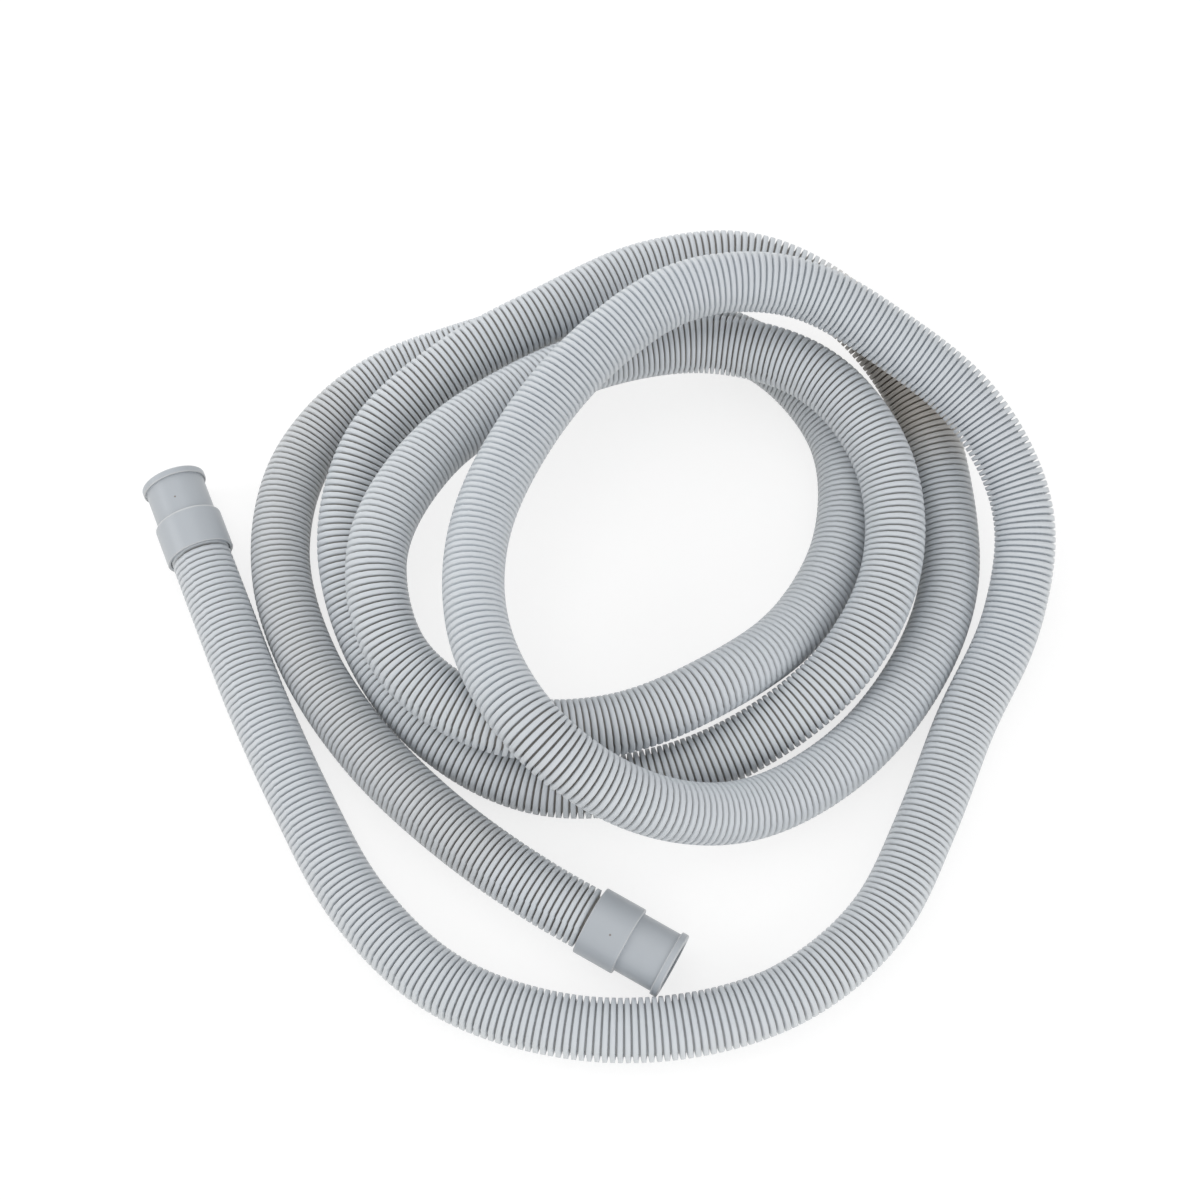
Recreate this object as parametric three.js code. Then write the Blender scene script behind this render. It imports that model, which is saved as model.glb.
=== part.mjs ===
// Drain hose of a washing machine: a long corrugated hose that lies in a loose coil, with a moulded
// cuff pushed over each of its ends. Millimetres, +Z up, the floor at z = 0 under the middle of the coil.

import * as THREE from 'three';

// Hose: a hollow tube as thick as the corrugations are deep, open at both ends
const HOSE_OD = 27;
const HOSE_WALL = 2.5;
const HOSE_SIDES = 12;
const HOSE_STEPS = 80;

// Cuffs: a thin sleeve over the hose, a step, and a thicker spigot with a flange round its mouth
const SEAT_CLEARANCE = 0.3;
const SLEEVE_WALL = 1.5;
const SLEEVE_LENGTH = 18.8;
const SLEEVE_WEB = 1.5;
const SPIGOT_BORE = 22;
const SPIGOT_WALL = 2.5;
const SPIGOT_LENGTH = 17.9;
const FLANGE_LIP = 1.2;
const FLANGE_LENGTH = 3.3;
const DRAIN_SHOULDER_ROUND = 1.4;
const PUMP_SHOULDER_ROUND = 0.5;
const FLANGE_ROUND = 0.7;
const ROUND_POINTS = 3;
const CUFF_SIDES = 48;

const HOSE_BORE = HOSE_OD - 2 * HOSE_WALL;
const SLEEVE_BORE = HOSE_OD + 2 * SEAT_CLEARANCE;
const SLEEVE_OD = SLEEVE_BORE + 2 * SLEEVE_WALL;
const SEAT_DEPTH = SLEEVE_LENGTH - SLEEVE_WEB;
const SPIGOT_OD = SPIGOT_BORE + 2 * SPIGOT_WALL;
const FLANGE_OD = SPIGOT_OD + 2 * FLANGE_LIP;
const CUFF_LENGTH = SLEEVE_LENGTH + SPIGOT_LENGTH + FLANGE_LENGTH;

// How high a sleeve that lies on the floor holds the hose in it. The first cuff lies on its sleeve's open
// end, with its mouth a little higher, and the second on its flange, with its mouth lower.
const END_LIFT = (SLEEVE_OD - HOSE_OD) / 2;

// The hose's middle line from end to end: x, y and how far it is lifted off the floor by what lies under it
const ROUTE = [
  // out of the first cuff, round the front of the coil on the floor
  [-184.2, 54.9, END_LIFT + 0.4], [-167, 13.1, END_LIFT - 0.7], [-147, -34, 0.4],
  [-125, -79, 0], [-100, -122, 0], [-63, -157, 0],
  [-16, -174.2, 0], [34, -175.8, 0], [82, -162.3, 0], [121.2, -131, 0],
  // up the right side, and over the top of the coil at the back
  [145, -87, 0.3], [165, -40, 1], [187, 4, 7], [193.8, 51.8, 21], [173.1, 95.2, 36],
  [135, 124.9, 49], [90.8, 145.3, 61], [42, 141, 65], [1, 113, 60], [-30, 74, 54],
  // across the pile on the left, down off it at the front, and up the right side again
  [-49, 27, 52], [-47, -22, 54], [-22, -65, 53], [20, -88, 35], [65, -85.5, 13],
  [108, -61, 4], [141, -23, 1], [160.8, 22, 0], [161.8, 71, 1], [149.8, 119, 8],
  // round the back, over the hose's last turn, and down the left side
  [119.3, 156.8, 20], [74.5, 177.3, 30], [25, 171.6, 31.5], [-19.6, 148.8, 31], [-63, 124, 27],
  [-99, 90, 20], [-111, 43, 10], [-98, -5, 2], [-68, -45.4, 1], [-24, -68.9, 0],
  // the third turn: along the front, up on the inner turn at the right, and round the back
  [26, -67.2, 1], [72, -48.8, 4.4], [111.1, -17.7, 13], [133.8, 27, 19.5], [131.2, 76.8, 25.8],
  [103.4, 117, 29.3], [57, 135, 27], [8, 127, 30], [-36, 103, 36], [-73, 70, 40],
  // down the left side on the turn below it, and round the inside of the coil on the floor
  [-94, 24, 40], [-82.4, -23.4, 33], [-41, -50.3, 27], [8, -49.5, 21], [54.3, -29, 17.8],
  [92.2, 3.9, 6], [114.3, 47.6, 2], [114.8, 98.3, 0.3], [86.2, 140.4, 0.6], [40.3, 160.6, 1],
  // under the others at the back, down the left side on the floor, and out to the second cuff
  [-10, 160, 3], [-57.3, 144.9, 5], [-103.3, 124.4, 4], [-135, 87, 1], [-142, 38, 0.2],
  [-127.5, -9.6, 0], [-99.5, -52.1, 1.5], [-63.7, -88.2, 4.8],
  [-25.2, -116.5, END_LIFT + 2.9], [14.3, -138.8, END_LIFT + 0.6],
].map(([x, y, lift]) => new THREE.Vector3(x, y, HOSE_OD / 2 + lift));

const HOSE_PLASTIC = new THREE.MeshStandardMaterial({ color: 0xc3c9cd, roughness: 0.55, metalness: 0 });
const CUFF_RUBBER = new THREE.MeshStandardMaterial({ color: 0xa9afb6, roughness: 0.6, metalness: 0 });

function hose() {
  const section = new THREE.Shape();
  section.absarc(0, 0, HOSE_OD / 2, 0, 2 * Math.PI);
  const bore = new THREE.Path();
  bore.absarc(0, 0, HOSE_BORE / 2, 0, 2 * Math.PI, true);
  section.holes.push(bore);
  // A full circle takes two straight sides for each curve segment
  const geometry = new THREE.ExtrudeGeometry(section, {
    steps: HOSE_STEPS,
    curveSegments: HOSE_SIDES / 2,
    extrudePath: new THREE.CatmullRomCurve3(ROUTE, false, 'centripetal'),
  });
  const mesh = new THREE.Mesh(geometry, HOSE_PLASTIC);
  mesh.name = 'hose';
  return mesh;
}

// Points of a quarter round from a wall to the end face above it, about its centre at (radius, height)
function quarterRound(radius, height, round) {
  return Array.from({ length: ROUND_POINTS + 1 }, (_, i) => {
    const angle = (i / ROUND_POINTS) * (Math.PI / 2);
    return new THREE.Vector2(radius + round * Math.cos(angle), height + round * Math.sin(angle));
  });
}

// A cuff's outline, closed on itself: it stands on its sleeve's open end, with its mouth up the Y axis
function cuffGeometry(shoulderRound) {
  const mouth = CUFF_LENGTH;
  const flange = mouth - FLANGE_LENGTH;
  return new THREE.LatheGeometry([
    new THREE.Vector2(SLEEVE_BORE / 2, 0),
    new THREE.Vector2(SLEEVE_OD / 2, 0),
    ...quarterRound(SLEEVE_OD / 2 - shoulderRound, SLEEVE_LENGTH - shoulderRound, shoulderRound),
    new THREE.Vector2(SPIGOT_OD / 2, SLEEVE_LENGTH),
    new THREE.Vector2(SPIGOT_OD / 2, flange),
    new THREE.Vector2(FLANGE_OD / 2, flange),
    ...quarterRound(FLANGE_OD / 2 - FLANGE_ROUND, mouth - FLANGE_ROUND, FLANGE_ROUND),
    new THREE.Vector2(SPIGOT_BORE / 2, mouth),
    new THREE.Vector2(SPIGOT_BORE / 2, SEAT_DEPTH),
    new THREE.Vector2(SLEEVE_BORE / 2, SEAT_DEPTH),
    new THREE.Vector2(SLEEVE_BORE / 2, 0),
  ], CUFF_SIDES);
}

// A cuff on the hose's end, in line with the route's last straight from inner to end
function cuff(name, end, inner, shoulderRound) {
  const out = end.clone().sub(inner).normalize();
  const mesh = new THREE.Mesh(cuffGeometry(shoulderRound), CUFF_RUBBER);
  mesh.name = name;
  mesh.position.copy(end).addScaledVector(out, SEAT_CLEARANCE - SEAT_DEPTH);
  mesh.quaternion.setFromUnitVectors(new THREE.Vector3(0, 1, 0), out);
  return mesh;
}

const drainHose = new THREE.Group();
drainHose.add(
  hose(),
  cuff('drain_end_cuff', ROUTE[0], ROUTE[1], DRAIN_SHOULDER_ROUND),
  cuff('pump_end_cuff', ROUTE.at(-1), ROUTE.at(-2), PUMP_SHOULDER_ROUND),
);

export default drainHose;
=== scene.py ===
# %% [markdown]
# # Drain hose of a washing machine, lying in a loose coil
#
# A drain hose is one long blow-moulded tube. Rings stand round it, so that its thin wall can bend
# without kinking, and a soft cuff is pushed over each of its ends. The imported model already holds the
# three pieces at their real size and place. This script keeps them there and gives them their looks:
# every rib as real geometry, the cuffs' rounded edges, satin plastic and rubber, and soft light.

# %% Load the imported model
from math import cos, pi, radians, sin

import bpy
import numpy as np
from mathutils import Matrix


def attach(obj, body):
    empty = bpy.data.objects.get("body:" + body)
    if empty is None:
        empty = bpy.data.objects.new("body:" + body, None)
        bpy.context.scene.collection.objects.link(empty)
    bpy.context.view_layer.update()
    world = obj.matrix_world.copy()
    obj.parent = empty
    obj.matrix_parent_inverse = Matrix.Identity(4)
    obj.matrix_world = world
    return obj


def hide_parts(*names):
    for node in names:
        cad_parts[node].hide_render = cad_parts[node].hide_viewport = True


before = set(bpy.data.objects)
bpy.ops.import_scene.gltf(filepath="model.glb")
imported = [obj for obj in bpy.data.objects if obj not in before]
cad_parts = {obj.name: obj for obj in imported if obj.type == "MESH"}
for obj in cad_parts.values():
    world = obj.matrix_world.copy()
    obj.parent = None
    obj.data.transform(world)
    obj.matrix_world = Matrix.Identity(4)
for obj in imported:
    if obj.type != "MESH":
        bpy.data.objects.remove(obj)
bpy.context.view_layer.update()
scene = bpy.context.scene

# %% [markdown]
# ## Camera
#
# The camera looks steeply down on the coil from the front. Its elevation can be read from the rings: a
# ring that is seen nearly along the hose is an ellipse, and its width against its height gives the
# angle. A fairly long lens keeps the far side of the coil nearly as large as the near side.

# %% Camera
CAMERA_ELEVATION = radians(67)
CAMERA_DISTANCE = 1.0159
CAMERA_AIM = (0.0036, 0.0184, 0.0135)
LENS_MM = 67.5
SENSOR_MM = 36

camera = bpy.data.objects.new("camera", bpy.data.cameras.new("camera"))
camera.data.lens = LENS_MM
camera.data.sensor_width = SENSOR_MM
camera.location = (
    CAMERA_AIM[0],
    CAMERA_AIM[1] - CAMERA_DISTANCE * cos(CAMERA_ELEVATION),
    CAMERA_AIM[2] + CAMERA_DISTANCE * sin(CAMERA_ELEVATION),
)
camera.rotation_euler = (pi / 2 - CAMERA_ELEVATION, 0, 0)
scene.collection.objects.link(camera)
scene.camera = camera
print("camera at", tuple(camera.location))

# %% [markdown]
# ## The hose's route
#
# The hose has one middle line: it leaves the first cuff, runs round the front on the floor, rises over
# the back of the coil, and then winds inwards and out again to the second cuff. It is given as points
# about 5 cm apart. They were sampled by a program from a curve fitted to the hose's edges in the
# photograph, with heights from an optimiser, and about two thirds of them were then corrected. A
# Bezier curve could carry the line, but its handles would have to be kept by hand. A spline through the
# points needs no handles, and numpy can work it out for all points at once.

# %% Route points: x, y and how far the hose is lifted off the floor, in metres
HOSE_OD = 0.027
SLEEVE_OD = 0.0306
END_LIFT = (SLEEVE_OD - HOSE_OD) / 2

ROUTE = np.array([
    # out of the first cuff, round the front of the coil on the floor
    [-0.1842, 0.0549, END_LIFT + 0.0004], [-0.167, 0.0131, END_LIFT - 0.0007], [-0.147, -0.034, 0.0004],
    [-0.125, -0.079, 0], [-0.100, -0.122, 0], [-0.063, -0.157, 0], [-0.016, -0.1742, 0],
    [0.034, -0.1758, 0], [0.082, -0.1623, 0], [0.1212, -0.131, 0],
    # up the right side, and over the top of the coil at the back
    [0.145, -0.087, 0.0003], [0.165, -0.040, 0.001], [0.187, 0.004, 0.007], [0.1938, 0.0518, 0.021],
    [0.1731, 0.0952, 0.036], [0.135, 0.1249, 0.049], [0.0908, 0.1453, 0.061], [0.042, 0.141, 0.065],
    [0.001, 0.113, 0.060], [-0.030, 0.074, 0.054],
    # across the pile on the left, down off it at the front, and up the right side again
    [-0.049, 0.027, 0.052], [-0.047, -0.022, 0.054], [-0.022, -0.065, 0.053], [0.020, -0.088, 0.035],
    [0.065, -0.0855, 0.013], [0.108, -0.061, 0.004], [0.141, -0.023, 0.001], [0.1608, 0.022, 0],
    [0.1618, 0.071, 0.001], [0.1498, 0.119, 0.008],
    # round the back, over the hose's last turn, and down the left side
    [0.1193, 0.1568, 0.020], [0.0745, 0.1773, 0.030], [0.025, 0.1716, 0.0315], [-0.0196, 0.1488, 0.031],
    [-0.063, 0.124, 0.027], [-0.099, 0.090, 0.020], [-0.111, 0.043, 0.010], [-0.098, -0.005, 0.002],
    [-0.068, -0.0454, 0.001], [-0.024, -0.0689, 0],
    # the third turn: along the front, up on the inner turn at the right, and round the back
    [0.026, -0.0672, 0.001], [0.072, -0.0488, 0.0044], [0.1111, -0.0177, 0.013], [0.1338, 0.027, 0.0195],
    [0.1312, 0.0768, 0.0258], [0.1034, 0.117, 0.0293], [0.057, 0.135, 0.027], [0.008, 0.127, 0.030],
    [-0.036, 0.103, 0.036], [-0.073, 0.070, 0.040],
    # down the left side on the turn below it, and round the inside of the coil on the floor
    [-0.094, 0.024, 0.040], [-0.0824, -0.0234, 0.033], [-0.041, -0.0503, 0.027], [0.008, -0.0495, 0.021],
    [0.0543, -0.029, 0.0178], [0.0922, 0.0039, 0.006], [0.1143, 0.0476, 0.002], [0.1148, 0.0983, 0.0003],
    [0.0862, 0.1404, 0.0006], [0.0403, 0.1606, 0.001],
    # under the others at the back, down the left side on the floor, and out to the second cuff
    [-0.010, 0.160, 0.003], [-0.0573, 0.1449, 0.005], [-0.1033, 0.1244, 0.004], [-0.135, 0.087, 0.001],
    [-0.142, 0.038, 0.0002], [-0.1275, -0.0096, 0], [-0.0995, -0.0521, 0.0015], [-0.0637, -0.0882, 0.0048],
    [-0.0252, -0.1165, END_LIFT + 0.0029], [0.0143, -0.1388, END_LIFT + 0.0006],
]) + [0, 0, HOSE_OD / 2]
print(len(ROUTE), "route points")


# %% A smooth line through the points, with even steps
def spline_through(points, samples):
    """A curve through the points.

    Between two neighbours it is a cubic. Its slope at each of them is the mean of the straight lines
    to the points around it, each taken over the square root of its length, so tight bends don't loop.
    """
    p = np.vstack([2 * points[0] - points[1], points, 2 * points[-1] - points[-2]])
    before, start, end, after = p[:-3], p[1:-2], p[2:-1], p[3:]
    root = [np.sqrt(np.linalg.norm(b - a, axis=1))[:, None]
            for a, b in ((before, start), (start, end), (end, after))]
    slope_in = root[1] * ((start - before) / root[0] - (end - before) / (root[0] + root[1])
                          + (end - start) / root[1])
    slope_out = root[1] * ((end - start) / root[1] - (after - start) / (root[1] + root[2])
                           + (after - end) / root[2])
    t = np.linspace(0, 1, samples, endpoint=False)[:, None, None]
    curve = (start + slope_in * t + (3 * (end - start) - 2 * slope_in - slope_out) * t ** 2
             + (2 * (start - end) + slope_in + slope_out) * t ** 3)
    return np.vstack([curve.transpose(1, 0, 2).reshape(-1, 3), points[-1:]])


def lengths_along(line):
    """How far along the line each of its points lies: the running sum of its steps."""
    return np.r_[0, np.cumsum(np.linalg.norm(np.diff(line, axis=0), axis=1))]


def evenly_spaced(line, step):
    """The same line with points an even step apart, by linear interpolation over its length."""
    along = lengths_along(line)
    count = int(round(along[-1] / step)) + 1
    at = np.linspace(0, along[-1], count)
    return np.stack([np.interp(at, along, line[:, axis]) for axis in range(3)], axis=1)


def bell_smoothed(line, width, step):
    """Each point becomes the mean of its neighbours, weighted by a bell curve of the given width.

    Past its ends the line is continued by turning it about them, so that the ends stay in place.
    """
    reach = int(4 * width / step)
    bell = np.exp(-0.5 * (np.arange(-reach, reach + 1) * step / width) ** 2)
    longer = np.vstack([2 * line[0] - line[reach:0:-1], line, 2 * line[-1] - line[-2:-reach - 2:-1]])
    return np.stack([np.convolve(longer[:, axis], bell / bell.sum(), "valid") for axis in range(3)], axis=1)


SAMPLES_EACH = 40
LINE_STEP = 0.001
WOBBLE_WIDTH = 0.007

middle_line = evenly_spaced(spline_through(ROUTE, SAMPLES_EACH), LINE_STEP)
middle_line = bell_smoothed(middle_line, WOBBLE_WIDTH, LINE_STEP)
line_lengths = lengths_along(middle_line)
HOSE_LENGTH = float(line_lengths[-1])
print("hose length in metres:", round(HOSE_LENGTH, 4), "with", len(middle_line), "points on its line")

# %% [markdown]
# ## The ribs
#
# A corrugated wall could be a bump in the material, but then the outline would be smooth, and against
# the pale floor each rib shows as a tooth. So each rib is geometry. The hose is a grid with two
# parameters, the length along the middle line and the angle round it. The ribs are closer together
# where the hose is squeezed and wider apart where it is stretched, so a rib's number is the integral of
# one over the pitch, and the rings are found by turning that round. A whole number is the middle of a
# crest, and the numbers are set so that each sleeve's open end lies at the edge of a groove. That first
# groove is wider than the others, because the sleeve pushes the rib beyond it away. Most of the pitches
# below are what a program measured along the hose in the photograph, and the rest are set.

# %% Where each rib stands
SEAT_CLEARANCE = 0.0003
SEAT_DEPTH = 0.0173
SLEEVE_REACH = SEAT_DEPTH - SEAT_CLEARANCE
FIRST_GROOVE = 0.0017
PITCH_AT = [0.00, 0.15, 0.25, 0.35, 0.45, 0.60, 0.85, 0.97, 1.13, 1.25, 1.40, 1.55, 1.75, 1.90,
            2.05, 2.25, 2.35, 2.45, 2.60, 2.73, 2.95, 3.22, 3.35, 3.46]
PITCH_MM = [2.88, 2.87, 2.96, 3.06, 2.87, 2.80, 2.73, 2.74, 3.00, 2.89, 2.82, 2.86, 2.83, 2.86,
            2.95, 2.88, 2.67, 2.70, 2.86, 3.05, 2.67, 2.69, 2.83, 2.87]
MM = 0.001
FIRST_PITCH = 0.0043
CREST_EDGE = 0.30

pitch = np.interp(line_lengths, PITCH_AT, PITCH_MM) * MM
from_an_end = np.minimum(line_lengths, HOSE_LENGTH - line_lengths)
pitch = np.where(from_an_end < SLEEVE_REACH + FIRST_GROOVE, FIRST_PITCH, pitch)
rib_number = np.r_[0, np.cumsum(np.diff(line_lengths) * 2 / (pitch[1:] + pitch[:-1]))]
first, last = np.interp([SLEEVE_REACH, HOSE_LENGTH - SLEEVE_REACH], line_lengths, rib_number)
RIB_COUNT = round(last - first)
rib_number = CREST_EDGE + (rib_number - first) * (RIB_COUNT - 2 * CREST_EDGE) / (last - first)
print(RIB_COUNT, "grooves in sight, on average", round(HOSE_LENGTH / np.ptp(rib_number) / MM, 2), "mm apart")

# %% [markdown]
# Four rings make one rib: the two edges of its broad crest, and the two edges of the narrow groove's
# bottom. So few rings can't bend the light as a rounded rib does, so each corner of a face gets its own
# normal, leaned along the hose by the angle that the real, rounded wall has there. A plastic hose is
# moulded in two halves. Where they meet, the ribs of one half stand a hair further along than those of
# the other, and that small jog is part of the look. So the columns of points stand close together at
# the two parting lines, and the rings step across them.

# %% The hose's surface as a grid
CREST = HOSE_OD / 2
GROOVE_DEPTH = 0.0026
BORE_RADIUS = 0.0102
RING_PHASE = np.array([-CREST_EDGE, CREST_EDGE, 0.42, 0.58])
RING_DROP = np.array([0.0, 0.0, 1.0, 1.0])
BAND_LEANS = np.radians([(-26, 26), (46, 76), (24, -24), (-76, -46)])
PARTING_GAP = radians(4)
COLUMNS_EACH_HALF = 10
PARTING_JOG = 0.00028
BORE_STEP = 0.030
TWIST_AT = [0.0, 0.1, 0.45, 2.3, 2.6, 3.0, 3.30, 3.46]
TWIST_DEG = [31, 31, 100, 100, 60, 100, 60, 37]


def at_length(values, lengths):
    """Values given along the middle line, read at other lengths of it."""
    return np.stack([np.interp(lengths, line_lengths, values[:, axis]) for axis in range(3)], axis=1)


def unit(vectors):
    """Each vector over its own length."""
    return vectors / np.linalg.norm(vectors, axis=-1, keepdims=True)


def rays_round_the_line(lengths, angles):
    """The line's direction at each length, and the direction outwards at each angle round it.

    A ray is the cosine of the angle upwards and its sine to the side, where the side is square to the
    line and level.
    """
    along = unit(at_length(np.gradient(middle_line, axis=0), lengths))
    side = unit(np.cross(along, [0, 0, 1]))
    up = np.cross(side, along)
    ray = np.cos(angles)[..., None] * up[:, None] + np.sin(angles)[..., None] * side[:, None]
    return along[:, None], ray


half = np.linspace(PARTING_GAP / 2, pi - PARTING_GAP / 2, COLUMNS_EACH_HALF)
column_angles = np.r_[half, half + pi]
column_shift = np.where(column_angles < pi, 0.5, -0.5) * PARTING_JOG

ribs = np.arange(int(rib_number[0]) - 1, int(rib_number[-1]) + 2)
ring_numbers = (ribs[:, None] + RING_PHASE).ravel()
on_hose = (ring_numbers > rib_number[0]) & (ring_numbers < rib_number[-1])
ring_kind = np.tile(np.arange(len(RING_PHASE)), len(ribs))[on_hose]
ring_lengths = np.interp(ring_numbers[on_hose], rib_number, line_lengths)

bore_lengths = np.linspace(ring_lengths[-1], ring_lengths[0], int(HOSE_LENGTH / BORE_STEP))
all_lengths = np.r_[ring_lengths, bore_lengths]
all_radii = np.r_[CREST - GROOVE_DEPTH * RING_DROP[ring_kind], np.full(len(bore_lengths), BORE_RADIUS)]
all_grooves = np.r_[RING_DROP[ring_kind], np.ones(len(bore_lengths))]
twist = np.radians(np.interp(all_lengths, TWIST_AT, TWIST_DEG))
along, ray = rays_round_the_line(all_lengths, column_angles + twist[:, None])
hose_grid = (at_length(middle_line, all_lengths)[:, None] + all_radii[:, None, None] * ray
             + column_shift[:, None] * along)
print("hose grid:", hose_grid.shape[:2], "points,", hose_grid.shape[0] * hose_grid.shape[1] * 2, "triangles")


# %% Turn a grid into a mesh
def ring_faces(rows, columns):
    """Four-sided faces of a grid that closes on itself both ways, each named by its corners."""
    row, column = np.meshgrid(np.arange(rows), np.arange(columns), indexing="ij")
    next_row, next_column = (row + 1) % rows, (column + 1) % columns
    corners = [row * columns + column, row * columns + next_column,
               next_row * columns + next_column, next_row * columns + column]
    return np.stack(corners, axis=-1).reshape(-1, 4)


def mesh_from_grid(name, grid):
    """A smooth-shaded object of a grid of points that closes on itself both ways."""
    rows, columns = grid.shape[:2]
    mesh = bpy.data.meshes.new(name)
    mesh.from_pydata(grid.reshape(-1, 3), [], ring_faces(rows, columns))
    mesh.polygons.foreach_set("use_smooth", np.ones(rows * columns, dtype=bool))
    mesh.update()
    piece = bpy.data.objects.new(name, mesh)
    scene.collection.objects.link(piece)
    return piece


def paint_points(piece, name, values):
    """Gives each point of the piece one number under the given name, for its material to read."""
    layer = piece.data.attributes.new(name, "FLOAT", "POINT")
    layer.data.foreach_set("value", np.ascontiguousarray(values, dtype=np.float32).ravel())


def signed_volume(piece):
    """The sum over the triangles of a third of the face's area times its distance from the origin."""
    mesh = piece.data
    mesh.calc_loop_triangles()
    corners = np.empty(len(mesh.loop_triangles) * 3, dtype=np.int32)
    mesh.loop_triangles.foreach_get("vertices", corners)
    points = np.empty(len(mesh.vertices) * 3)
    mesh.vertices.foreach_get("co", points)
    a, b, c = points.reshape(-1, 3)[corners.reshape(-1, 3)].transpose(1, 0, 2)
    return float(np.einsum("ij,ij->i", a, np.cross(b, c)).sum() / 6)


def leaned_normals(along, ray, ring_kind):
    """A normal for each corner of each face: the outward ray, leaned along the line.

    The lean of a band's first and last ring comes from the ring that the band starts at. Faces of the
    bore get zeros, which leave their normals to Blender.
    """
    leans = BAND_LEANS[ring_kind[:-1]]
    first = np.cos(leans[:, :1, None]) * ray[:len(leans)] + np.sin(leans[:, :1, None]) * along[:len(leans)]
    rows = slice(1, len(leans) + 1)
    last = np.cos(leans[:, 1:, None]) * ray[rows] + np.sin(leans[:, 1:, None]) * along[rows]
    corners = np.stack([first, np.roll(first, -1, axis=1), np.roll(last, -1, axis=1), last], axis=2)
    normals = np.zeros((*ray.shape[:2], 4, 3))
    normals[:len(leans)] = corners
    return normals.reshape(-1, 3)


hose = mesh_from_grid("corrugated_hose", hose_grid)
hose.data.normals_split_custom_set(leaned_normals(along, ray, ring_kind).tolist())
print("hose volume in cm3:", round(signed_volume(hose) * 1e6, 1))

# %% Paint shade on the hose: warm painted shade on one stretch, lighter painted groove shade on two, darker painted shade on one
# Each stretch is its start and end along the hose, in metres, and how much
# Painted warm shade on one shaded stretch
WARM_SHADE_STRETCHES = [(1.41, 1.53, 1.0)]
# Lighter painted groove shade on the coil's outside
LESS_GROOVE_SHADE = [(0.08, 0.42, 0.45), (0.56, 1.10, 0.80)]
# Darker painted shade all over on the stretch that leads to the pump end cuff
DARKER_SHADE = [(3.10, 3.42, 0.35)]
STRETCH_FADE = 0.03


def strength_at(lengths, stretches):
    """At each length, the most of any stretch there, where each fades over a short way at its ends."""
    strength = np.zeros_like(lengths)
    for start, end, most in stretches:
        inside = np.minimum(lengths - start, end - lengths) / STRETCH_FADE
        strength = np.maximum(strength, most * np.clip(inside, 0, 1))
    return strength


# How much painted shade each point gets: its depth in the groove, lighter on the coil's outside
groove_shade = all_grooves * (1 - strength_at(all_lengths, LESS_GROOVE_SHADE))
# Darker painted shade on the stretch to the pump end cuff, crests included
groove_shade = groove_shade + (1 - groove_shade) * strength_at(all_lengths, DARKER_SHADE)
paint_points(hose, "groove", np.repeat(groove_shade, len(column_angles)))
# The painted warm shade's strength along the hose
paint_points(hose, "warm_shade", np.repeat(strength_at(all_lengths, WARM_SHADE_STRETCHES), len(column_angles)))
print("stretches:", len(WARM_SHADE_STRETCHES), "warm_shaded,", len(LESS_GROOVE_SHADE), "less_groove_shaded,", len(DARKER_SHADE), "darker_shaded")

# %% [markdown]
# ## The cuffs
#
# Each cuff is soft rubber, moulded in one piece: a sleeve over the hose, a shoulder, and a narrower
# spigot with a flange round its mouth. It is a profile turned about the hose's end. A Screw modifier
# could do that too, but as a formula each point knows its corner, so the edges that get a painted highlight
# can be marked.
# Rounded corners are arcs. Beside each arc a further point keeps the shading of the long wall flat.

# %% A cuff's profile: radius and height of its corners, and how round each is, in metres
SLEEVE_BORE = HOSE_OD + 2 * SEAT_CLEARANCE
SLEEVE_LENGTH = 0.0188
SPIGOT_OD = 0.027
SPIGOT_BORE = 0.022
FLANGE_OD = 0.0294
FLANGE_LENGTH = 0.0033
CUFF_LENGTH = 0.040
SLEEVE_END_ROUND = 0.0004
DRAIN_SHOULDER_ROUND = 0.0014
PUMP_SHOULDER_ROUND = 0.0005
SPIGOT_FOOT_ROUND = 0.0002
FLANGE_BACK_ROUND = 0.0005
FLANGE_ROUND = 0.0007
MOUTH_ROUND = 0.0006
SEAT_ROUND = 0.0003


def cuff_corners(shoulder_round):
    """The corners of a cuff's outline, from the sleeve's open end up the outside and down the bore."""
    flange_foot = CUFF_LENGTH - FLANGE_LENGTH
    return [
        (SLEEVE_BORE / 2, 0, SLEEVE_END_ROUND),
        (SLEEVE_OD / 2, 0, SLEEVE_END_ROUND),
        (SLEEVE_OD / 2, SLEEVE_LENGTH, shoulder_round),
        (SPIGOT_OD / 2, SLEEVE_LENGTH, SPIGOT_FOOT_ROUND),
        (SPIGOT_OD / 2, flange_foot, SPIGOT_FOOT_ROUND),
        (FLANGE_OD / 2, flange_foot, FLANGE_BACK_ROUND),
        (FLANGE_OD / 2, CUFF_LENGTH, FLANGE_ROUND),
        (SPIGOT_BORE / 2, CUFF_LENGTH, MOUTH_ROUND),
        (SPIGOT_BORE / 2, SEAT_DEPTH, SEAT_ROUND),
        (SLEEVE_BORE / 2, SEAT_DEPTH, SEAT_ROUND),
    ]


# %% Round the corners and turn the profile
ARC_POINTS = 7
SUPPORT = 0.0003
CUFF_COLUMNS = 160
# Which of a cuff's corners get a painted highlight: the sleeve's end and shoulder, and the flange's two
# edges
OUTER_EDGES = [1, 2, 5, 6]


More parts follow.
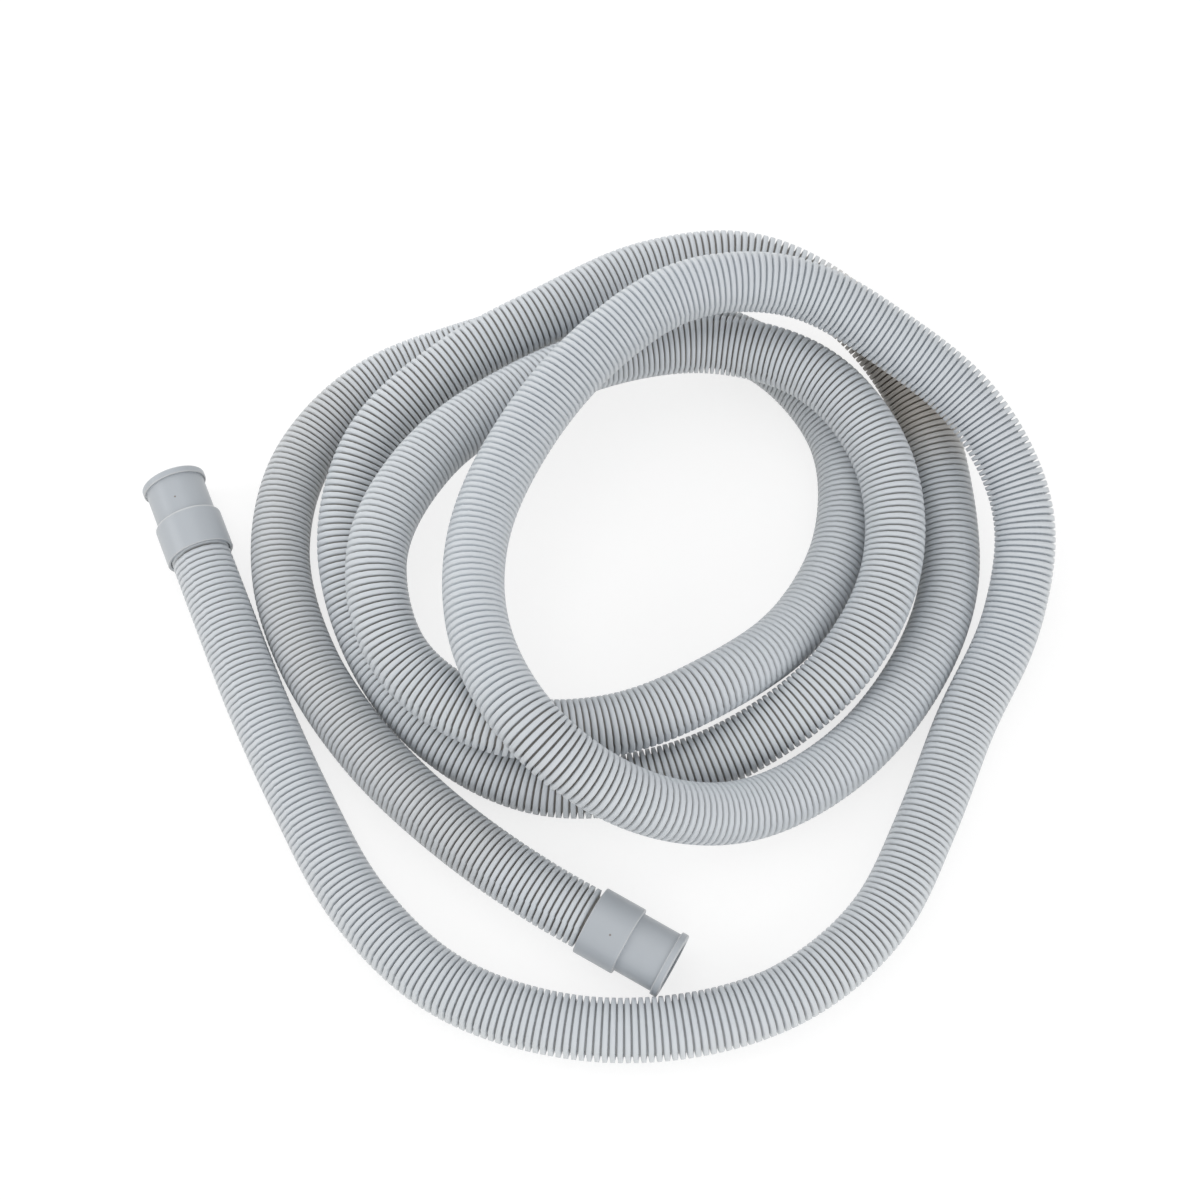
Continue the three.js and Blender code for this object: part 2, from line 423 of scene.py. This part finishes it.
def rounded_outline(corners):
    """A closed outline whose corners are arcs.

    An arc starts and ends where its radius, over the tangent of half the angle between the two walls,
    is left to the corner. Its middle lies on the line that halves that angle.
    """
    points = np.array([corner[:2] for corner in corners], dtype=float)
    outline = []
    for i, (_, _, rounding) in enumerate(corners):
        here = points[i]
        back = unit(points[i - 1] - here)
        ahead = unit(points[(i + 1) % len(points)] - here)
        half_angle = np.arccos(np.clip(back @ ahead, -1, 1)) / 2
        reach = rounding / np.tan(half_angle)
        middle = here + unit(back + ahead) * rounding / np.sin(half_angle)
        first, last = here + back * reach - middle, here + ahead * reach - middle
        share = np.linspace(0, 1, ARC_POINTS)[:, None]
        sweep = pi - 2 * half_angle
        arc = (np.sin((1 - share) * sweep) * first + np.sin(share * sweep) * last) / np.sin(sweep)
        outline += [here + back * (reach + SUPPORT), *(middle + arc), here + ahead * (reach + SUPPORT)]
    return np.array(outline)


def turned_cuff(name, end, inner, shoulder_round):
    """A cuff in line with the hose's end: its outline turned about the line out of the hose.

    The middles of the arcs at its outer edges get 1 in the attribute "edge", and all else 0.
    """
    out = unit(end - inner)
    side = unit(np.cross(out, [0, 0, 1]))
    up = np.cross(side, out)
    foot = end - out * SLEEVE_REACH
    corners = cuff_corners(shoulder_round)
    outline = rounded_outline(corners)
    angle = np.linspace(0, 2 * pi, CUFF_COLUMNS, endpoint=False)
    radius, height = outline[:, 0, None, None], outline[:, 1, None, None]
    ray = np.cos(angle)[:, None] * up + np.sin(angle)[:, None] * side
    piece = mesh_from_grid(name, foot + radius * ray + height * out)
    # The outer edges' arcs are marked for a painted highlight
    edge = np.zeros((len(corners), ARC_POINTS + 2))
    edge[OUTER_EDGES, 2:-2] = 1
    paint_points(piece, "edge", np.repeat(edge.ravel(), CUFF_COLUMNS))
    print(name, "volume in cm3:", round(signed_volume(piece) * 1e6, 2))
    return piece


drain_cuff = turned_cuff("drain_end_cuff_moulded", ROUTE[0], ROUTE[1], DRAIN_SHOULDER_ROUND)
pump_cuff = turned_cuff("pump_end_cuff_moulded", ROUTE[-1], ROUTE[-2], PUMP_SHOULDER_ROUND)

# %% [markdown]
# ## Materials
#
# Moulded plastic and rubber are never one flat colour. The same three things show on both: faint clouds
# where the melt flowed, a fine grain from the mould, and places that hands have polished. They are a
# node group, built once, that each material then uses with its own values.


# %% A node group for moulded surfaces
def add_node(tree, kind, **settings):
    """A node of the given kind, with its own settings and its inputs' plain values."""
    node = tree.nodes.new(kind)
    for name, value in settings.items():
        if name in node.bl_rna.properties:
            setattr(node, name, value)
        else:
            node.inputs[name.replace("_", " ")].default_value = value
    return node


def make_moulded_group():
    """Clouds, grain and polish from Object coordinates, as masks from 0 to 1."""
    group = bpy.data.node_groups.new("moulded_surface", "ShaderNodeTree")
    for name, default in (("Cloud Scale", 20.0), ("Grain Scale", 900.0)):
        socket = group.interface.new_socket(name, in_out="INPUT", socket_type="NodeSocketFloat")
        socket.default_value = default
    for name in ("Clouds", "Grain", "Polish"):
        group.interface.new_socket(name, in_out="OUTPUT", socket_type="NodeSocketFloat")
    inputs = group.nodes.new("NodeGroupInput")
    outputs = group.nodes.new("NodeGroupOutput")
    place = group.nodes.new("ShaderNodeTexCoord")
    clouds = add_node(group, "ShaderNodeTexNoise", Detail=3.0, Roughness=0.55)
    grain = add_node(group, "ShaderNodeTexNoise", Detail=2.0, Roughness=0.6)
    polish = add_node(group, "ShaderNodeTexNoise", Scale=45.0, Detail=4.0, Roughness=0.6)
    for noise in (clouds, grain, polish):
        group.links.new(place.outputs["Object"], noise.inputs["Vector"])
    group.links.new(inputs.outputs["Cloud Scale"], clouds.inputs["Scale"])
    group.links.new(inputs.outputs["Grain Scale"], grain.inputs["Scale"])
    group.links.new(clouds.outputs["Fac"], outputs.inputs["Clouds"])
    group.links.new(grain.outputs["Fac"], outputs.inputs["Grain"])
    group.links.new(polish.outputs["Fac"], outputs.inputs["Polish"])
    return group


moulded_group = make_moulded_group()
print("node group:", moulded_group.name)


# %% Helpers that wire a material
def new_material(name):
    """An empty node material with its Principled shader."""
    material = bpy.data.materials.new(name)
    material.use_nodes = True
    return material, material.node_tree, material.node_tree.nodes["Principled BSDF"]


def blend_colour(tree, mask, low, high, blend_type="MIX"):
    """Low blended with high, as strongly as the mask says from 0 to 1. Low is a colour or a socket."""
    mix = add_node(tree, "ShaderNodeMix", data_type="RGBA", blend_type=blend_type)
    tree.links.new(mask, mix.inputs[0])
    if isinstance(low, tuple):
        mix.inputs[6].default_value = (*low, 1)
    else:
        tree.links.new(low, mix.inputs[6])
    mix.inputs[7].default_value = (*high, 1)
    return mix.outputs[2]


def spread(tree, mask, low, high, from_low=0.3, from_high=0.7):
    """A number that goes from low to high as the mask goes from one value to another."""
    node = add_node(tree, "ShaderNodeMapRange", From_Min=from_low, From_Max=from_high,
                    To_Min=low, To_Max=high)
    tree.links.new(mask, node.inputs["Value"])
    return node.outputs["Result"]


def painted(tree, name):
    """The number that the mesh's points carry under the given name."""
    return add_node(tree, "ShaderNodeAttribute", attribute_name=name).outputs["Fac"]


GRAIN_HEIGHT = 0.0001


def moulded_surface(tree, shader, cloud_scale, grain_scale, roughness, bump):
    """The moulded group in a material, which gives its clouds back.

    Its polish is wired to the shader's roughness, and its grain to the shader's normal.
    """
    surface = add_node(tree, "ShaderNodeGroup", node_tree=moulded_group)
    surface.inputs["Cloud Scale"].default_value = cloud_scale
    surface.inputs["Grain Scale"].default_value = grain_scale
    tree.links.new(spread(tree, surface.outputs["Polish"], *roughness), shader.inputs["Roughness"])
    grain = add_node(tree, "ShaderNodeBump", Strength=bump, Distance=GRAIN_HEIGHT)
    tree.links.new(surface.outputs["Grain"], grain.inputs["Height"])
    tree.links.new(grain.outputs["Normal"], shader.inputs["Normal"])
    return surface.outputs["Clouds"]


# %% [markdown]
# ### Hose plastic
#
# The hose is polypropylene, light grey and satin. Its grooves get painted shade, darker than the rendered
# shade alone makes them. The grid gave each point its depth in
# the groove, and the material turns that into painted shade. On the coil's outside the painted groove shade
# is lighter, the stretch that leads to the pump end cuff gets darker painted shade all over, and one stretch
# gets a painted warm shade.

# %% Hose plastic
CREST_GREY = (0.578, 0.612, 0.646)
CREST_PALE = (0.614, 0.648, 0.680)
# The colour of the painted shade in the grooves
GROOVE_SHADE_GREY = (0.345, 0.325, 0.300)
# The tint of the painted warm shade on one stretch
WARM_SHADE_TINT = (0.94, 0.84, 0.74)
GROOVE_SHADE_FROM = 0.2
HOSE_CLOUD_SCALE = 26.0
HOSE_GRAIN_SCALE = 1400.0
HOSE_ROUGHNESS = (0.50, 0.40)
HOSE_BUMP = 0.12


def make_hose_plastic():
    """Satin grey plastic: pale crests, painted shade in the grooves, a painted warm shade on one stretch,
    faint clouds, a fine grain.
    """
    material, tree, shader = new_material("hose_plastic")
    clouds = moulded_surface(tree, shader, HOSE_CLOUD_SCALE, HOSE_GRAIN_SCALE, HOSE_ROUGHNESS, HOSE_BUMP)
    # Painted shade in the grooves, as strong as the painted groove value says
    groove_shade = spread(tree, painted(tree, "groove"), 0.0, 1.0, GROOVE_SHADE_FROM, 1.0)
    crest = blend_colour(tree, clouds, CREST_GREY, CREST_PALE)
    groove_shaded = blend_colour(tree, groove_shade, crest, GROOVE_SHADE_GREY)
    # Painted warm shade multiplied over one stretch
    with_warm_shade = blend_colour(tree, painted(tree, "warm_shade"), groove_shaded, WARM_SHADE_TINT, "MULTIPLY")
    tree.links.new(with_warm_shade, shader.inputs["Base Color"])
    return material


hose.data.materials.append(make_hose_plastic())
print("hose material:", hose.data.materials[0].name)

# %% [markdown]
# ### Cuff rubber
#
# The cuffs are a darker grey, softer and a little glossier than the hose, so they take a broad soft
# highlight along them. Handling leaves them patchy, which shows in the gloss more than in the colour.
# Each also has one tiny dark speck of dirt, found by its distance from a place on the cuff. Its outer edges
# get a painted highlight.

# %% Cuff rubber
RUBBER_GREY = (0.415, 0.445, 0.478)
RUBBER_PALE = (0.445, 0.475, 0.508)
# The colour of the painted highlight on the cuffs' outer edges
EDGE_HIGHLIGHT_GREY = (0.620, 0.625, 0.620)
SPECK_BROWN = (0.220, 0.190, 0.175)
SPECK_RADIUS = 0.0003
SPECKS = [(-0.1888, 0.0626, 0.0294), (0.0078, -0.1406, 0.0307)]
CUFF_EDGE_MOST = 0.5
CUFF_CLOUD_SCALE = 60.0
CUFF_GRAIN_SCALE = 1800.0
CUFF_ROUGHNESS = (0.40, 0.30)
CUFF_BUMP = 0.15


def near_specks(tree):
    """1 within a radius of any speck, falling to 0 at twice that radius."""
    place = tree.nodes.new("ShaderNodeTexCoord").outputs["Object"]
    nearest = None
    for speck in SPECKS:
        distance = add_node(tree, "ShaderNodeVectorMath", operation="DISTANCE")
        distance.inputs[1].default_value = speck
        tree.links.new(place, distance.inputs[0])
        if nearest is None:
            nearest = distance.outputs["Value"]
            continue
        smaller = add_node(tree, "ShaderNodeMath", operation="MINIMUM")
        tree.links.new(nearest, smaller.inputs[0])
        tree.links.new(distance.outputs["Value"], smaller.inputs[1])
        nearest = smaller.outputs[0]
    return spread(tree, nearest, 1.0, 0.0, SPECK_RADIUS, 2 * SPECK_RADIUS)


def make_cuff_rubber():
    """Satin grey rubber: soft clouds, painted highlights on the outer edges, specks of dirt, patchy gloss
    and a fine grain.
    """
    material, tree, shader = new_material("cuff_rubber")
    clouds = moulded_surface(tree, shader, CUFF_CLOUD_SCALE, CUFF_GRAIN_SCALE, CUFF_ROUGHNESS, CUFF_BUMP)
    # Painted highlight on the outer edges
    edge = spread(tree, painted(tree, "edge"), 0.0, CUFF_EDGE_MOST, 0.0, 1.0)
    colour = blend_colour(tree, clouds, RUBBER_GREY, RUBBER_PALE)
    edge_highlighted = blend_colour(tree, edge, colour, EDGE_HIGHLIGHT_GREY)
    speckled = blend_colour(tree, near_specks(tree), edge_highlighted, SPECK_BROWN)
    tree.links.new(speckled, shader.inputs["Base Color"])
    return material


cuff_rubber = make_cuff_rubber()
for cuff in (drain_cuff, pump_cuff):
    cuff.data.materials.append(cuff_rubber)
print("cuff material:", cuff_rubber.name)

# %% [markdown]
# ## What each piece stands for
#
# The three pieces replace the imported solids and ride on the part's one body. The hose starts in
# one cuff and ends in the other.

# %% Place the pieces in the frame
for piece, node, slot in ((hose, "hose", "hose_plastic"),
                          (drain_cuff, "drain_end_cuff", "cuff_rubber"),
                          (pump_cuff, "pump_end_cuff", "cuff_rubber")):
    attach(piece, "root")
    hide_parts(node)

print("pieces placed:", [piece.name for piece in (hose, drain_cuff, pump_cuff)])

# %% [markdown]
# ## Floor and light
#
# The hose lies on a white sheet under soft studio light. To camera and glossy rays most of the sheet's
# white is its own and the rest is lit, so it is full white with only a soft shadow under the hose. To
# every other ray it is matt and slightly warm, so the light that it throws back up is warm too. The
# lamps stay at a plain level, so that the greys render as they are written.

# %% White floor that keeps the shadow
FLOOR_SIZE = 12.0
FLOOR_WHITE = (0.960, 0.920, 0.850)
FLOOR_SEEN_WHITE = 0.30
FLOOR_GLOW = 0.76


def camera_and_glossy(tree):
    """1 for camera, glossy and transmission rays, and 0 for all others."""
    path = tree.nodes.new("ShaderNodeLightPath")
    first = add_node(tree, "ShaderNodeMath", operation="MAXIMUM")
    second = add_node(tree, "ShaderNodeMath", operation="MAXIMUM")
    tree.links.new(path.outputs["Is Camera Ray"], first.inputs[0])
    tree.links.new(path.outputs["Is Glossy Ray"], first.inputs[1])
    tree.links.new(first.outputs[0], second.inputs[0])
    tree.links.new(path.outputs["Is Transmission Ray"], second.inputs[1])
    return second.outputs[0]


def make_floor():
    """A large level square: matt white, but partly white by its own light to the camera."""
    corner = FLOOR_SIZE / 2
    mesh = bpy.data.meshes.new("floor")
    mesh.from_pydata([(-corner, -corner, 0), (corner, -corner, 0), (corner, corner, 0),
                      (-corner, corner, 0)], [], [(0, 1, 2, 3)])
    floor = bpy.data.objects.new("floor", mesh)
    scene.collection.objects.link(floor)
    material, tree, shader = new_material("white_sheet")
    shader.inputs["Base Color"].default_value = (*FLOOR_WHITE, 1)
    shader.inputs["Roughness"].default_value = 1.0
    shader.inputs["Specular IOR Level"].default_value = 0.0
    lit = add_node(tree, "ShaderNodeBsdfDiffuse", Color=(*[FLOOR_SEEN_WHITE] * 3, 1))
    glow = add_node(tree, "ShaderNodeEmission", Strength=FLOOR_GLOW)
    seen = tree.nodes.new("ShaderNodeAddShader")
    either = tree.nodes.new("ShaderNodeMixShader")
    tree.links.new(lit.outputs[0], seen.inputs[0])
    tree.links.new(glow.outputs[0], seen.inputs[1])
    tree.links.new(camera_and_glossy(tree), either.inputs[0])
    tree.links.new(shader.outputs[0], either.inputs[1])
    tree.links.new(seen.outputs[0], either.inputs[2])
    tree.links.new(either.outputs[0], tree.nodes["Material Output"].inputs["Surface"])
    mesh.materials.append(material)


make_floor()
print("floor", FLOOR_SIZE, "m wide")

# %% Soft light from all sides
WORLD_LEVEL = 0.60
LAMPS = [
    # name, place, size in metres, watts
    ("overhead_softbox", (-0.20, 0.30, 1.60), 1.3, 4.0),
    ("front_softbox", (0.40, -1.30, 0.50), 1.2, 5.5),
    ("left_softbox", (-1.25, -0.10, 0.72), 0.7, 4.0),
    ("right_softbox", (1.30, -0.45, 0.50), 1.2, 3.5),
    ("back_softbox", (-0.60, 1.25, 0.55), 1.2, 5.5),
]


def add_lamp(name, place, size, watts):
    """A square area lamp that faces the coil."""
    lamp = bpy.data.objects.new(name, bpy.data.lights.new(name, "AREA"))
    lamp.data.shape = "SQUARE"
    lamp.data.size = size
    lamp.data.energy = watts
    lamp.location = place
    away = np.array(place)
    yaw = np.arctan2(away[0], -away[1])
    lean = np.arctan2(np.hypot(away[0], away[1]), away[2])
    lamp.rotation_euler = (lean, 0, yaw)
    scene.collection.objects.link(lamp)


def make_world():
    """An even pale surround: white to the camera, and a plain level of fill light for the object."""
    world = bpy.data.worlds.new("studio")
    world.use_nodes = True
    tree = world.node_tree
    surround = tree.nodes["Background"]
    surround.inputs["Color"].default_value = (1, 1, 1, 1)
    level = add_node(tree, "ShaderNodeMapRange", To_Min=WORLD_LEVEL, To_Max=1.0)
    tree.links.new(camera_and_glossy(tree), level.inputs["Value"])
    tree.links.new(level.outputs["Result"], surround.inputs["Strength"])
    scene.world = world


for lamp_facts in LAMPS:
    add_lamp(*lamp_facts)
make_world()
scene.view_settings.view_transform = "Standard"
print(len(LAMPS), "lamps and a surround at", WORLD_LEVEL)
